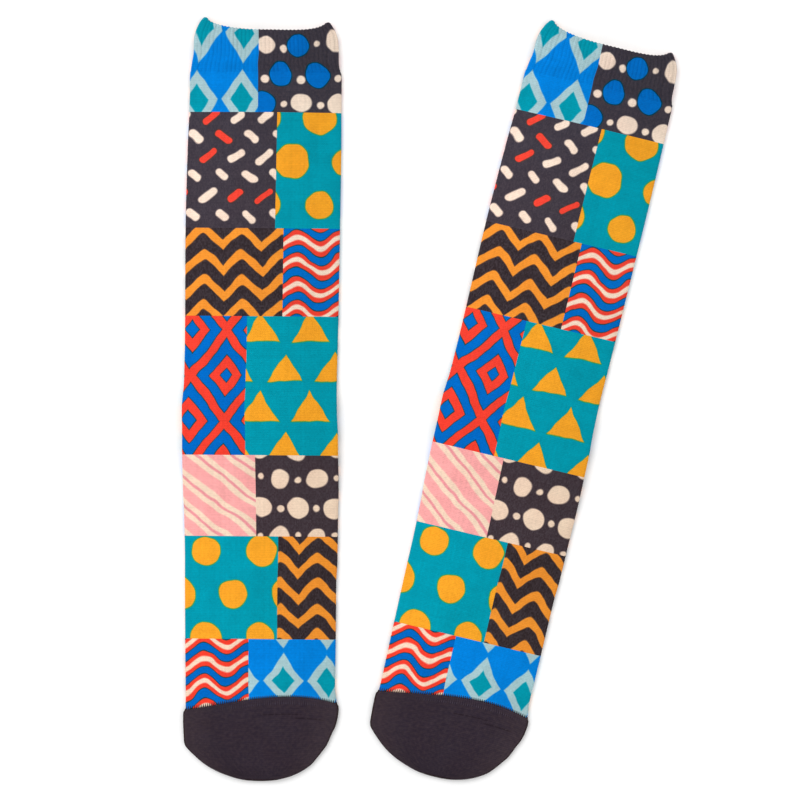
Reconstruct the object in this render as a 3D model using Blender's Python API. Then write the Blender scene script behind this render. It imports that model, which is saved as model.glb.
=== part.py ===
"""A pair of mid-calf socks, laid flat beside each other with their fronts up.

Each sock is a knitted tube pressed flat: a ribbed cuff, a plain leg and foot in one
piece, a heel pouch folded flat beneath them, and a closed toe.  Stations are distances
in millimetres from the tip of the toe towards the cuff.  The front of the sock is the
upper layer, and the socks lie on Z = 0.
"""

import math

import bmesh
import bpy
from mathutils import Matrix, Vector

MM = 0.001

# Cloth, in millimetres
BODY_WALL = 1.3  # one layer of the plain leg and foot
TOE_WALL = 1.5  # the toe is knitted a little denser
CUFF_WALL = 1.6  # the cuff between its ribs
RIB_HEIGHT = 0.5  # how far a rib stands out of the cuff
RIBS_ROUND = 72  # one rib to two needles of a 144 needle machine
LAYER_GAP = 0.8  # air between the front and the back layer
SEAM_GAP = 0.3  # between pieces that meet
ROUNDEST_FOLD = 0.9  # a fold's radius, at most, as a share of the half width
SHARP_ANGLE = 40.0  # degrees, past which an edge is shaded sharp

# Stations
TOE_SEAM = 41.9  # side ends of the toe, on average
CUFF_START = 393.6
RIM_MIDDLE = 416.4  # the rim halfway between its two corners
EAR_RISE = {"left": 6.2, "right": 4.5}  # the corners of the rim stand higher
EAR_SHARPNESS = {"left": 2.3, "right": 4.0}  # exponents of the rim's curve
BACK_RIM_DROP = 0.8  # the back of the rim hides behind the front
RIM_ROUND = 0.5
RIB_FADE = 7.0  # the ribs and the thicker wall of the cuff begin over this length

# The toe's upper edge: slanted, and bowed towards the cuff
SEAM_SLANT = 2.2
SEAM_BOW = {"front": 4.4, "back": 1.0}
SEAM_BOW_SKEW = 0.5
SEAM_FADE = 30.0  # the rows of stitches straighten over this length
TOE_STEP_ROOM = 0.22  # the toe is wider than the foot, so its slanted edge needs more room

# The heel pouch, folded flat under the leg
HEEL_BASE = 182.8  # where it meets the sole
HEEL_DEPTH = 33.2
HEEL_HALF_WIDTH = 40.5
HEEL_THICKNESS = 2.0  # two layers of cloth
HEEL_SQUARENESS = 2.4  # exponent of its oval outline
HEEL_EDGE_ROUND = 0.8
HEEL_GROOVE = 0.45  # the fold line between its two layers
HEEL_REACH = (1.2, 1.55)  # where the cloth above starts and ends its way down
HEEL_RAMP = 30.0  # the foot rises to the heel over this length
HEEL_STEP = 0.2

# The mouth stands slightly open
MOUTH_GAPE = 5.4
MOUTH_LENGTH = 75.0

# Flat outlines: half widths left and right of the sock's middle line
TOE_OUTLINE = (
    # station, left, right
    (0.0, 1.5, 2.0),
    (0.6, 8.2, 8.6),
    (1.5, 12.6, 12.8),
    (3.0, 17.5, 17.8),
    (5.5, 23.9, 23.2),
    (9.5, 30.8, 28.9),
    (14.2, 36.4, 32.9),
    (17.5, 39.8, 35.4),
    (19.5, 41.4, 36.9),
    (22.0, 42.1, 38.2),
    (27.0, 42.4, 40.3),
    (30.5, 42.6, 42.0),
    (35.0, 42.7, 43.2),
    (40.0, 42.5, 43.8),
    (44.5, 42.3, 43.6),
)
LEG_OUTLINE = (
    # station, left, right
    (36.0, 41.3, 42.9),
    (46.0, 41.3, 42.4),
    (53.0, 41.4, 41.7),
    (80.0, 41.9, 41.9),
    (110.0, 42.3, 41.9),
    (123.0, 42.4, 42.5),
    (147.0, 43.0, 42.6),
    (160.0, 43.7, 42.8),
    (182.0, 44.3, 42.4),
    (195.0, 44.4, 42.1),
    (206.0, 44.7, 41.5),
    (222.0, 43.7, 41.3),
    (250.0, 43.4, 41.8),
    (300.0, 43.6, 42.3),
    (350.0, 42.8, 42.7),
    (376.0, 41.9, 42.6),
    (391.0, 41.8, 42.6),
    (398.0, 41.1, 41.3),
    (404.0, 40.1, 41.2),
    (411.5, 40.0, 40.7),
    (416.0, 39.0, 39.3),
    (420.5, 37.0, 36.6),
    (424.5, 34.6, 34.4),
)

# Low swells of the front layer, where it stands a little off the back
SWELLS = (
    # station, across, half length, half width, height
    (352.0, 14.0, 16.0, 22.0, 0.7),
    (306.0, -16.0, 22.0, 20.0, 0.5),
    (262.0, 18.0, 24.0, 18.0, 0.6),
    (150.0, -10.0, 20.0, 26.0, 0.6),
    (98.0, 16.0, 24.0, 20.0, 0.5),
    (66.0, -14.0, 12.0, 22.0, 0.4),
)

# Rows of the meshes
FACE_COLUMNS = 12
FOLD_COLUMNS = 4
CUFF_FACE_COLUMNS = 65
CUFF_FOLD_COLUMNS = RIBS_ROUND - CUFF_FACE_COLUMNS
BODY_SPANS = (
    # from, to, rows
    (TOE_SEAM + SEAM_GAP / 2, 55.0, 2),
    (55.0, 150.0, 5),
    (150.0, HEEL_BASE - SEAM_GAP - HEEL_STEP, 5),
    (HEEL_BASE - SEAM_GAP - HEEL_STEP, HEEL_BASE - SEAM_GAP, 1),
    (HEEL_BASE - SEAM_GAP, 240.0, 8),
    (240.0, 360.0, 5),
    (360.0, CUFF_START - SEAM_GAP / 2, 3),
)
CUFF_ROWS = (CUFF_START + SEAM_GAP / 2, 397.0, 400.8, 405.5, 410.0, 413.6, 415.9, RIM_MIDDLE)
CUFF_INSIDE_ROWS = (CUFF_START + SEAM_GAP / 2, 400.8, 409.5, RIM_MIDDLE)
TIP_THINNEST = 0.3  # share of the toe's thickness left at its tip
TOE_EDGE = TOE_SEAM - SEAM_GAP / 2 - TOE_STEP_ROOM
TOE_ROWS = (0.25, 0.8, 1.8, 3.6, 6.5, 10.0, 14.5, 19.5, 25.0, 32.0, TOE_EDGE)
HEEL_COLUMNS = 36
HEEL_BASE_COLUMNS = 10

# Where each sock lies: its toe tip on the table, and its lean clockwise in degrees
LAY = (
    # name, toe x, toe y, lean
    ("left", -94.5, -211.6, 0.48),
    ("right", 2.8, -209.3, 13.36),
)

# Colour (linear), roughness and sheen of each finish
FINISHES = {
    "printed_knit": ((0.02, 0.28, 0.36), 0.85),
    "black_knit": ((0.025, 0.017, 0.021), 0.9),
}


def smooth(value):
    """0 to 1 with level ends."""
    value = min(max(value, 0.0), 1.0)
    return value * value * (3.0 - 2.0 * value)


def mix(first, second, share):
    return first + (second - first) * share


def half_widths(rows, station):
    """Left and right half width of an outline, smoothly between the table's rows."""
    station = min(max(station, rows[0][0]), rows[-1][0])
    index = next(i for i in range(len(rows) - 1) if station <= rows[i + 1][0])
    low, high = rows[index], rows[index + 1]
    before = rows[max(index - 1, 0)]
    after = rows[min(index + 2, len(rows) - 1)]
    length = high[0] - low[0]
    share = (station - low[0]) / length
    found = []
    for column in (1, 2):
        slope = (high[column] - low[column]) / length
        slope_low = limited(slope, (low[column] - before[column]) / max(low[0] - before[0], 1e-6))
        slope_high = limited(slope, (after[column] - high[column]) / max(after[0] - high[0], 1e-6))
        a = slope_low * length - (high[column] - low[column])
        b = (high[column] - low[column]) - slope_high * length
        straight = mix(low[column], high[column], share)
        found.append(straight + share * (1.0 - share) * (a * (1.0 - share) + b * share))
    return found


def limited(slope, other):
    """A slope for a table row that never overshoots: the harmonic mean of its two sides."""
    if slope * other <= 0.0:
        return 0.0
    return 2.0 * slope * other / (slope + other)


def ring_stops(face_columns, fold_columns):
    """Stops round the tube: 0 to 1 is the front, to 2 the right fold, to 3 the back, to 4 the left fold."""
    stops = []
    for zone, columns in enumerate((face_columns, fold_columns) * 2):
        stops += [zone + step / columns for step in range(columns)]
    return stops + [4.0]


def read_stop(stop):
    """Zone, progress in it, and the place across the sock from -1 (left fold) to 1 (right fold)."""
    zone = int(stop) % 4
    progress = stop - int(stop)
    across = (2.0 * progress - 1.0, 1.0, 1.0 - 2.0 * progress, -1.0)[zone]
    return zone, progress, across


def toe_edge(stop):
    """How far the toe's upper edge lies above TOE_SEAM at this stop."""
    zone, _, across = read_stop(stop)
    bow = SEAM_BOW["back" if zone == 2 else "front"] if zone in (0, 2) else 0.0
    return SEAM_SLANT * across + bow * (1.0 - across**2) * (1.0 + SEAM_BOW_SKEW * across)


def rim_rise(stop, row):
    """How far a row of the cuff bends up to the rim's corners, or the back's middle hangs down."""
    zone, _, across = read_stop(stop)
    nearness = smooth((row - CUFF_START) / (RIM_MIDDLE - CUFF_START))
    side = "left" if across < 0.0 else "right"
    drop = BACK_RIM_DROP * (1.0 - across**2) if zone == 2 else 0.0
    return nearness * (EAR_RISE[side] * abs(across) ** EAR_SHARPNESS[side] - drop)


def heel_nearness(x, station):
    """1 above the folded heel, falling to 0 round it."""
    start, end = HEEL_REACH
    along = max(station - HEEL_BASE, 0.0) / HEEL_DEPTH
    away = (abs(x / HEEL_HALF_WIDTH) ** HEEL_SQUARENESS + along**HEEL_SQUARENESS) ** (1 / HEEL_SQUARENESS)
    return smooth((end - away) / (end - start))


def heel_lift(x, station, underside):
    """Height that the folded heel adds; the sole's underside stays down until it meets the heel."""
    full = (HEEL_THICKNESS + SEAM_GAP) * heel_nearness(x, station)
    if station >= HEEL_BASE - SEAM_GAP - HEEL_STEP / 2:
        return full
    ramp = full * smooth((station - (HEEL_BASE - HEEL_RAMP)) / HEEL_RAMP)
    return mix(ramp, 0.0, underside)


def swell(x, station):
    return sum(
        height * math.exp(-(((station - at) / length) ** 2) - ((x - middle) / width) ** 2)
        for at, middle, length, width, height in SWELLS
    )


def gape(station):
    """How far the mouth stands open at its middle."""
    return MOUTH_GAPE * smooth((station - (RIM_MIDDLE - MOUTH_LENGTH)) / MOUTH_LENGTH)


def on_ring(outline, stop, station, radius, depth):
    """A point of the flattened tube, depth millimetres inside its outer skin of this fold radius."""
    zone, progress, across = read_stop(stop)
    left, right = half_widths(outline, station)
    radius = min(radius, ROUNDEST_FOLD * min(left, right))
    start, end = -(left - radius), right - radius
    reach = radius - depth
    if zone in (0, 2):
        x = mix(start, end, (across + 1.0) / 2.0)
        up = 1.0 if zone == 0 else -1.0
    else:
        side = 1.0 if zone == 1 else -1.0
        x = (end if zone == 1 else start) + side * reach * math.sin(math.pi * progress)
        up = side * math.cos(math.pi * progress)
    z = radius + reach * up
    if zone == 0:
        z += gape(station) * (1.0 - across**2) ** 2 + swell(x, station) * (1.0 - across**4)
    underside = (1.0 - up) / 2.0 if depth < BODY_WALL / 2 else 0.0
    return Vector((x, station, z + heel_lift(x, station, underside)))


def tube_wall(bm, stops, rows, place):
    """A flat net with a column for each stop and a row for each row, carried to its place and welded shut."""
    columns, spans = len(stops) - 1, len(rows) - 1
    net = bmesh.ops.create_grid(bm, x_segments=columns, y_segments=spans, size=0.5)["verts"]
    for vert in net:
        column = round((vert.co.x + 0.5) * columns)
        row = round((vert.co.y + 0.5) * spans)
        vert.co = place(stops[column % columns], *rows[row]) * MM
    bmesh.ops.remove_doubles(bm, verts=net, dist=0.00001)


def open_edges(bm):
    return [edge for edge in bm.edges if edge.is_boundary]


def there_and_back(outside_rows, inside_rows):
    """Rows up the outer skin and down the inner one, which make a wall; each is a skin and a row."""
    return [("outside", row) for row in outside_rows] + [("inside", row) for row in reversed(inside_rows)]


def finish(bm, name, finish_name, lean, toe):
    """Turns the mesh into its object, laid on the table."""
    bmesh.ops.recalc_face_normals(bm, faces=bm.faces)
    mesh = bpy.data.meshes.new(name)
    bm.to_mesh(mesh)
    bm.free()
    mesh.shade_smooth()
    mesh.set_sharp_from_angle(angle=math.radians(SHARP_ANGLE))
    mesh.transform(Matrix.Translation(Vector(toe) * MM) @ Matrix.Rotation(-math.radians(lean), 4, "Z"))
    mesh.materials.append(finish_material(finish_name))
    piece = bpy.data.objects.new(name, mesh)
    bpy.context.scene.collection.objects.link(piece)


def finish_material(name):
    found = bpy.data.materials.get(name)
    if found:
        return found
    colour, roughness = FINISHES[name]
    material = bpy.data.materials.new(name)
    material.use_nodes = True
    shader = material.node_tree.nodes["Principled BSDF"]
    shader.inputs["Base Color"].default_value = (*colour, 1.0)
    shader.inputs["Roughness"].default_value = roughness
    shader.inputs["Sheen Weight"].default_value = 0.3
    return material


def body_rows():
    rows = [BODY_SPANS[0][0]]
    for start, end, count in BODY_SPANS:
        rows += [mix(start, end, (step + 1) / count) for step in range(count)]
    return rows


def make_body():
    """The printed leg and foot: one plain tube, open at both ends."""
    radius = BODY_WALL + LAYER_GAP / 2

    def place(stop, skin, row):
        fade = max(0.0, 1.0 - (row - TOE_SEAM) / SEAM_FADE) ** 2
        depth = BODY_WALL if skin == "inside" else 0.0
        return on_ring(LEG_OUTLINE, stop, row + toe_edge(stop) * fade, radius, depth)

    rows = there_and_back(body_rows(), body_rows())
    bm = bmesh.new()
    tube_wall(bm, ring_stops(FACE_COLUMNS, FOLD_COLUMNS), rows + rows[:1], place)
    return bm


def make_cuff():
    """The ribbed cuff: its ribs are raised in the outer skin over a plain inside."""
    stops = ring_stops(CUFF_FACE_COLUMNS, CUFF_FOLD_COLUMNS)

    def place(stop, skin, row):
        grown = smooth((row - CUFF_START) / RIB_FADE)
        wall, rib = mix(BODY_WALL, CUFF_WALL, grown), RIB_HEIGHT * grown
        in_valley = stops.index(stop) % 2
        rim = RIM_ROUND if row == RIM_MIDDLE else 0.0
        depth = rib * in_valley + rim if skin == "outside" else rib + wall
        return on_ring(LEG_OUTLINE, stop, row + rim_rise(stop, row), rib + wall + LAYER_GAP / 2, depth)

    rows = there_and_back(CUFF_ROWS, CUFF_INSIDE_ROWS)
    bm = bmesh.new()
    tube_wall(bm, stops, rows + rows[:1], place)
    return bm


def make_toe():
    """The toe: a pouch whose edge is the outline, closed at its tip."""
    radius = TOE_WALL + LAYER_GAP / 2

    def place(stop, skin, row):
        depth = TOE_WALL if skin == "inside" else 0.0
        from_tip = min(row / radius, 1.0)
        thin = max(math.sqrt(1.0 - (1.0 - from_tip) ** 2), TIP_THINNEST)
        station = row + depth * (1.0 - row / TOE_SEAM) + toe_edge(stop) * (row / TOE_SEAM) ** 2
        point = on_ring(TOE_OUTLINE, stop, station, radius, depth)
        point.z = radius + (point.z - radius) * thin
        return point

    bm = bmesh.new()
    tube_wall(bm, ring_stops(FACE_COLUMNS, FOLD_COLUMNS), there_and_back(TOE_ROWS, TOE_ROWS), place)
    bmesh.ops.holes_fill(bm, edges=open_edges(bm), sides=0)
    return bm


def heel_outline(column):
    """Half oval with its straight side to the sole: unit x and station of one of its points."""
    oval = HEEL_COLUMNS - HEEL_BASE_COLUMNS
    if column <= oval:
        angle = math.pi * column / oval
        power = 2.0 / HEEL_SQUARENESS
        x = math.copysign(abs(math.cos(angle)) ** power, math.cos(angle))
        return x, max(math.sin(angle), 0.0) ** power
    return mix(-1.0, 1.0, (column - oval) / HEEL_BASE_COLUMNS), 0.0


def make_heel():
    """The heel pouch folded flat: one rounded solid, with the fold line between its two layers."""
    half = HEEL_THICKNESS / 2
    levels = (
        # height, inset round the oval
        (0.0, HEEL_EDGE_ROUND),
        (0.25 * half, 0.25 * HEEL_EDGE_ROUND),
        (0.6 * half, 0.0),
        (half, HEEL_GROOVE),
        (1.4 * half, 0.0),
        (1.75 * half, 0.25 * HEEL_EDGE_ROUND),
        (HEEL_THICKNESS, HEEL_EDGE_ROUND),
    )
    bm = bmesh.new()

    def place(column, height, inset):
        x, along = heel_outline(column)
        x *= HEEL_HALF_WIDTH - inset
        return Vector((x, HEEL_BASE + along * (HEEL_DEPTH - inset), height))

    tube_wall(bm, range(HEEL_COLUMNS + 1), levels, place)
    bmesh.ops.holes_fill(bm, edges=open_edges(bm), sides=0)
    return bm


def main():
    for old in list(bpy.data.objects):
        bpy.data.objects.remove(old, do_unlink=True)
    pieces = (
        # name, maker, finish
        ("cuff", make_cuff, "printed_knit"),
        ("body", make_body, "printed_knit"),
        ("heel", make_heel, "black_knit"),
        ("toe", make_toe, "black_knit"),
    )
    for side, toe_x, toe_y, lean in LAY:
        for piece, make, finish_name in pieces:
            finish(make(), f"{side}_{piece}", finish_name, lean, (toe_x, toe_y, 0.0))


main()
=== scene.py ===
# %% [markdown]
# # A pair of printed socks, laid flat
#
# Each sock is one knitted tube: a ribbed cuff, a plain leg and foot in a bright print, a
# black heel pouch folded flat underneath, and a black toe.  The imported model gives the
# solids that carry weight.  This lesson dresses them in thin knitted shells with ribs,
# stitches, creases and dye.

# %% Load the frame
import math

import bmesh
import bpy
from mathutils import Matrix, Vector


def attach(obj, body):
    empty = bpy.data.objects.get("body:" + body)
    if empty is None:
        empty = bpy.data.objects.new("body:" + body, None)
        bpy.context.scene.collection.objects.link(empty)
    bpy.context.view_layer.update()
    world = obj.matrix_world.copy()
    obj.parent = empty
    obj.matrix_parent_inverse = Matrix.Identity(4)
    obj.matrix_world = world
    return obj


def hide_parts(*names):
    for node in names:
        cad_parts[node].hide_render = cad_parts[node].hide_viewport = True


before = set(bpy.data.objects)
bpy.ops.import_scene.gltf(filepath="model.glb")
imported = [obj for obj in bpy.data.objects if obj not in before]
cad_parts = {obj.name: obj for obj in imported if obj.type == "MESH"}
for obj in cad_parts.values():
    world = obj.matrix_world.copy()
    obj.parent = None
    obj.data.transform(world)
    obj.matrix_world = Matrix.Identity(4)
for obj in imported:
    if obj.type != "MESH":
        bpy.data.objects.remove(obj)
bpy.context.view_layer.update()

MM = 0.001
print("solids:", sorted(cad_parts))

# %% [markdown]
# ## Camera, table and light
#
# The socks are seen from straight above through a long lens, so nothing is foreshortened.
# The camera stands over a point a little left of the pair's middle.  The table is white,
# but not the purest white, so that the soft shadow round the socks shows on it while the
# open table still comes out clean.  Light comes evenly from a white sky, and from one large
# soft panel beyond the left cuff, so that the shadows are faint and fall to the lower
# right.  Together they are a little stronger than white, which makes up for the grooves
# between the stitches, so that a dye shows as it is.

# %% Stage
VIEW_WIDTH = 444.5 * MM  # what the view covers on the table, from left to right
VIEW_MIDDLE = (-16.4 * MM, -0.06 * MM)
CAMERA_HEIGHT = 1.6
SENSOR = 36.0
SKY_STRENGTH = 1.0
PANEL_PLACE = (-1.1, 1.2, 2.4)
PANEL_SIZE = 1.5
PANEL_POWER = 24.0
TABLE_SIZE = 6.0
TABLE_DROP = 0.02 * MM  # keeps the socks' undersides clear of the table
TABLE_WHITE = 0.93

scene = bpy.context.scene


def add_object(name, data):
    """A new object in the scene, at the origin."""
    added = bpy.data.objects.new(name, data)
    scene.collection.objects.link(added)
    return added


def mesh_from(bm, name):
    """Turns a bmesh into a mesh, and frees it."""
    mesh = bpy.data.meshes.new(name)
    bm.to_mesh(mesh)
    bm.free()
    return mesh


def add_finish(name):
    """A new material and its shader."""
    material = bpy.data.materials.new(name)
    material.use_nodes = True
    return material, material.node_tree.nodes["Principled BSDF"]


camera = add_object("camera", bpy.data.cameras.new("camera"))
camera.data.sensor_width = SENSOR
camera.data.lens = SENSOR * CAMERA_HEIGHT / VIEW_WIDTH
camera.location = (*VIEW_MIDDLE, CAMERA_HEIGHT)
scene.camera = camera
scene.view_settings.view_transform = "Standard"

world = bpy.data.worlds.new("white sky")
scene.world = world
world.use_nodes = True
sky = world.node_tree.nodes["Background"]
sky.inputs["Color"].default_value = (1.0, 1.0, 1.0, 1.0)
sky.inputs["Strength"].default_value = SKY_STRENGTH

panel = add_object("soft_panel", bpy.data.lights.new("soft_panel", "AREA"))
panel.data.size = PANEL_SIZE
panel.data.energy = PANEL_POWER
panel.location = PANEL_PLACE
panel.rotation_euler = Vector(PANEL_PLACE).to_track_quat("Z", "Y").to_euler()

bm = bmesh.new()
bmesh.ops.create_grid(bm, x_segments=1, y_segments=1, size=TABLE_SIZE / 2)
table = add_object("table", mesh_from(bm, "table"))
table.location.z = -TABLE_DROP
table_paint, table_shader = add_finish("table_paint")
table_shader.inputs["Base Color"].default_value = (TABLE_WHITE, TABLE_WHITE, TABLE_WHITE, 1.0)
table_shader.inputs["Roughness"].default_value = 1.0
table_shader.inputs["Specular IOR Level"].default_value = 0.0
table.data.materials.append(table_paint)
print("lens in mm:", round(camera.data.lens, 1))

# %% [markdown]
# ## The sock's flat form
#
# Both socks come off the same machine, so one description serves them.  A place on the
# knit is told by two numbers.  The *stop* runs round the tube: 0 to 1 is the front, to 2
# the right fold, to 3 the back and to 4 the left fold.  The *row* is a distance in
# millimetres from the tip of the toe.  Two tables hold the half widths of the flat
# outline on both sides of the sock's middle line.  The toe is a little wider than the
# foot, because its yarn is heavier.

# %% Outlines
TOE_OUTLINE = (
    # station, left, right
    (0.0, 1.5, 2.0), (0.6, 8.2, 8.6), (1.5, 12.6, 12.8), (3.0, 17.5, 17.8),
    (5.5, 23.9, 23.2), (9.5, 30.8, 28.9), (14.2, 36.4, 32.9), (17.5, 39.8, 35.4),
    (19.5, 41.4, 36.9), (22.0, 42.1, 38.2), (27.0, 42.4, 40.3), (30.5, 42.6, 42.0),
    (35.0, 42.7, 43.2), (40.0, 42.5, 43.8), (44.5, 42.3, 43.6),
)
LEG_OUTLINE = (
    # station, left, right
    (36.0, 41.3, 42.9), (46.0, 41.3, 42.4), (53.0, 41.4, 41.7), (80.0, 41.9, 41.9),
    (110.0, 42.3, 41.9), (123.0, 42.4, 42.5), (147.0, 43.0, 42.6), (160.0, 43.7, 42.8),
    (182.0, 44.3, 42.4), (195.0, 44.4, 42.1), (206.0, 44.7, 41.5), (222.0, 43.7, 41.3),
    (250.0, 43.4, 41.8), (300.0, 43.6, 42.3), (350.0, 42.8, 42.7), (376.0, 41.9, 42.6),
    (391.0, 41.8, 42.6), (398.0, 41.1, 41.3), (404.0, 40.1, 41.2), (411.5, 40.0, 40.7),
    (416.0, 39.0, 39.3), (420.5, 37.0, 36.6), (424.5, 34.6, 34.4),
)


def smooth(value):
    """0 to 1 with level ends."""
    value = min(max(value, 0.0), 1.0)
    return value * value * (3.0 - 2.0 * value)


def mix(first, second, share):
    return first + (second - first) * share


TINY = 1e-6  # keeps a division away from nothing


def gentle(slope, other):
    """The harmonic mean of two slopes, which never overshoots the table."""
    return 0.0 if slope * other <= 0.0 else 2.0 * slope * other / (slope + other)


def half_widths(outline, station):
    """Left and right half width, on a smooth curve through the table's rows."""
    station = min(max(station, outline[0][0]), outline[-1][0])
    index = next(i for i in range(len(outline) - 1) if station <= outline[i + 1][0])
    low, high = outline[index], outline[index + 1]
    before, after = outline[max(index - 1, 0)], outline[min(index + 2, len(outline) - 1)]
    length = high[0] - low[0]
    share = (station - low[0]) / length
    found = []
    for side in (1, 2):
        rise = high[side] - low[side]
        start = gentle(rise / length, (low[side] - before[side]) / max(low[0] - before[0], TINY))
        end = gentle(rise / length, (after[side] - high[side]) / max(after[0] - high[0], TINY))
        bend = (start * length - rise) * (1.0 - share) + (rise - end * length) * share
        found.append(low[side] + rise * share + share * (1.0 - share) * bend)
    return found


INSTEP = 123.0
print("width in mm at the instep:", round(sum(half_widths(LEG_OUTLINE, INSTEP)), 1))

# %% [markdown]
# ## Sizes of the knit
#
# The machine has 144 needles, so the tube has 144 wales, the upright chains of stitches.
# The cuff is ribbed one by one: every second wale stands out, which makes 72 ribs.  All
# lengths are in millimetres, and rows count from the tip of the toe.

# %% Knit sizes
WALES = 144
TUBE_ROUND = 170.0  # the printed tube, all round
WALE = TUBE_ROUND / WALES
COURSE = 0.95  # the height of a stitch

BODY_WALL = 1.3
LAYER_GAP = 0.8  # the air between the front and the back of the flat tube

TOE_SEAM = 41.9  # the row where the black toe meets the print
CUFF_START = 393.6
RIM_MIDDLE = 416.4

HEEL_BASE = 182.8  # the row where the folded heel joins the sole
HEEL_DEPTH = 33.2
HEEL_HALF_WIDTH = 40.5
HEEL_THICKNESS = 2.0
print("a stitch in mm:", round(WALE, 2), "wide and", COURSE, "high")

# %% [markdown]
# ## Creases
#
# A new sock that was pressed flat shows only a few soft marks: long low swells where the
# front stands off the back, and short pinches that start at the heel's corners and at the
# ears of the rim.  Each row of a table is one soft ridge, or a trough where the height is
# negative.  They differ between the two socks, as real ones do.  The hidden side lies on
# the table, so its marks only rise from it.

# %% Creases
FRONT_CREASES = {
    # station, across, half length, half width, turn in degrees, height
    "left": (
        (352.0, 14.0, 26.0, 15.0, 70.0, 0.6),
        (306.0, -16.0, 30.0, 14.0, 100.0, 0.45),
        (262.0, 18.0, 30.0, 13.0, 60.0, 0.55),
        (150.0, -10.0, 28.0, 18.0, 20.0, 0.5),
        (98.0, 16.0, 26.0, 16.0, 110.0, 0.45),
        (66.0, -14.0, 20.0, 10.0, 10.0, 0.35),
        (226.0, -34.0, 15.0, 2.6, 32.0, -0.4),
        (219.0, -37.0, 11.0, 2.0, 14.0, 0.35),
        (230.0, 33.0, 13.0, 2.4, 150.0, -0.35),
        (176.0, -35.0, 12.0, 2.4, -24.0, -0.35),
        (172.0, 36.0, 14.0, 2.6, 200.0, -0.3),
        (412.0, -31.0, 7.0, 2.2, 54.0, -0.45),
        (405.0, 34.6, 12.0, 1.5, 96.0, -0.7),
        (406.0, 37.6, 12.0, 1.4, 92.0, 0.8),
        (330.0, 30.0, 22.0, 3.4, 82.0, 0.25),
        (118.0, -31.0, 20.0, 3.2, 95.0, 0.22),
    ),
    "right": (
        (344.0, -12.0, 28.0, 15.0, 96.0, 0.6),
        (298.0, 15.0, 26.0, 15.0, 60.0, 0.5),
        (256.0, -14.0, 24.0, 14.0, 120.0, 0.5),
        (142.0, 8.0, 30.0, 18.0, 160.0, 0.5),
        (92.0, -15.0, 24.0, 15.0, 75.0, 0.4),
        (61.0, 12.0, 18.0, 10.0, 165.0, 0.35),
        (224.0, -35.0, 13.0, 2.4, 26.0, -0.35),
        (228.0, 34.0, 16.0, 2.6, 148.0, -0.4),
        (220.0, 37.0, 10.0, 2.0, 168.0, 0.35),
        (178.0, -34.0, 13.0, 2.4, -18.0, -0.35),
        (174.0, 35.0, 11.0, 2.4, 206.0, -0.35),
        (412.0, -30.0, 8.0, 2.4, 52.0, -0.45),
        (404.0, 34.0, 11.0, 1.6, 98.0, -0.6),
        (405.0, 37.2, 11.0, 1.5, 94.0, 0.7),
        (318.0, -31.0, 24.0, 3.4, 98.0, 0.25),
        (110.0, 30.0, 18.0, 3.0, 84.0, 0.22),
    ),
}
BACK_CREASES = {
    # station, across, half length, half width, turn in degrees, height
    "left": (
        (372.0, -12.0, 22.0, 5.0, 78.0, 0.25),
        (334.0, 17.0, 26.0, 7.0, 104.0, 0.3),
        (286.0, -19.0, 24.0, 6.0, 66.0, 0.22),
        (236.0, 24.0, 17.0, 3.4, 148.0, 0.3),
        (238.0, -25.0, 15.0, 3.0, 34.0, 0.26),
        (152.0, 13.0, 24.0, 7.0, 96.0, 0.25),
        (104.0, -15.0, 26.0, 6.0, 74.0, 0.28),
        (62.0, 9.0, 15.0, 4.0, 18.0, 0.2),
    ),
    "right": (
        (366.0, 15.0, 20.0, 5.0, 98.0, 0.26),
        (322.0, -14.0, 28.0, 7.0, 82.0, 0.28),
        (276.0, 20.0, 22.0, 6.0, 112.0, 0.24),
        (237.0, -24.0, 18.0, 3.4, 30.0, 0.3),
        (240.0, 26.0, 14.0, 3.0, 144.0, 0.24),
        (146.0, -16.0, 22.0, 7.0, 88.0, 0.24),
        (98.0, 12.0, 24.0, 6.0, 106.0, 0.28),
        (60.0, -12.0, 14.0, 4.0, 160.0, 0.2),
    ),
}
CREASE_REACH = 2.6  # times its half size, past which a crease is nothing


def crease(rows, x, station):
    """Height that a table of creases adds at this place."""
    total = 0.0
    for at, across, length, width, turn, height in rows:
        if abs(station - at) > CREASE_REACH * length or abs(x - across) > CREASE_REACH * length:
            continue
        angle = math.radians(turn)
        along = ((x - across) * math.cos(angle) + (station - at) * math.sin(angle)) / length
        aside = ((station - at) * math.cos(angle) - (x - across) * math.sin(angle)) / width
        total += height * math.exp(-along * along - aside * aside)
    return total


for side, table_of in (("front", FRONT_CREASES), ("back", BACK_CREASES)):
    print(side, "creases:", {sock: len(rows) for sock, rows in table_of.items()})

# %% [markdown]
# ## From the knit to its place
#
# These functions carry a place on the knit to a point of the flattened tube.  *Depth*
# counts from the outer skin into the cloth, so one function makes both skins.  The folded
# heel lifts what lies above it, and the mouth stands slightly open.

# %% Places on the tube
ROUNDEST_FOLD = 0.9  # a fold's radius, at most, as a share of the half width

SEAM_SLANT = 2.2  # the toe's edge climbs to the right and bows up in the middle
SEAM_BOW = {"front": 4.4, "back": 1.0}
SEAM_BOW_SKEW = 0.5

EAR_RISE = {"left": 6.2, "right": 4.5}  # the rim's corners stand up like ears
EAR_SHARPNESS = {"left": 2.3, "right": 4.0}
EAR_TIP = {"left": 0.9, "right": 0.3}  # at the fold itself the rim comes to a point
TIP_SHARPNESS = 14.0
BACK_RIM_DROP = 0.8

HEEL_SQUARENESS = 2.4
HEEL_GAP = 0.3
HEEL_STEP = 0.2  # the sole steps up over the heel within this length
HEEL_REACH = (1.2, 1.55)  # in heel sizes, where the lift starts to fall and ends
HEEL_RAMP = 30.0

MOUTH_GAPE = 5.4
MOUTH_LENGTH = 75.0
CREASE_SQUARENESS = 6  # how suddenly the creases end at the folds


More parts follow.
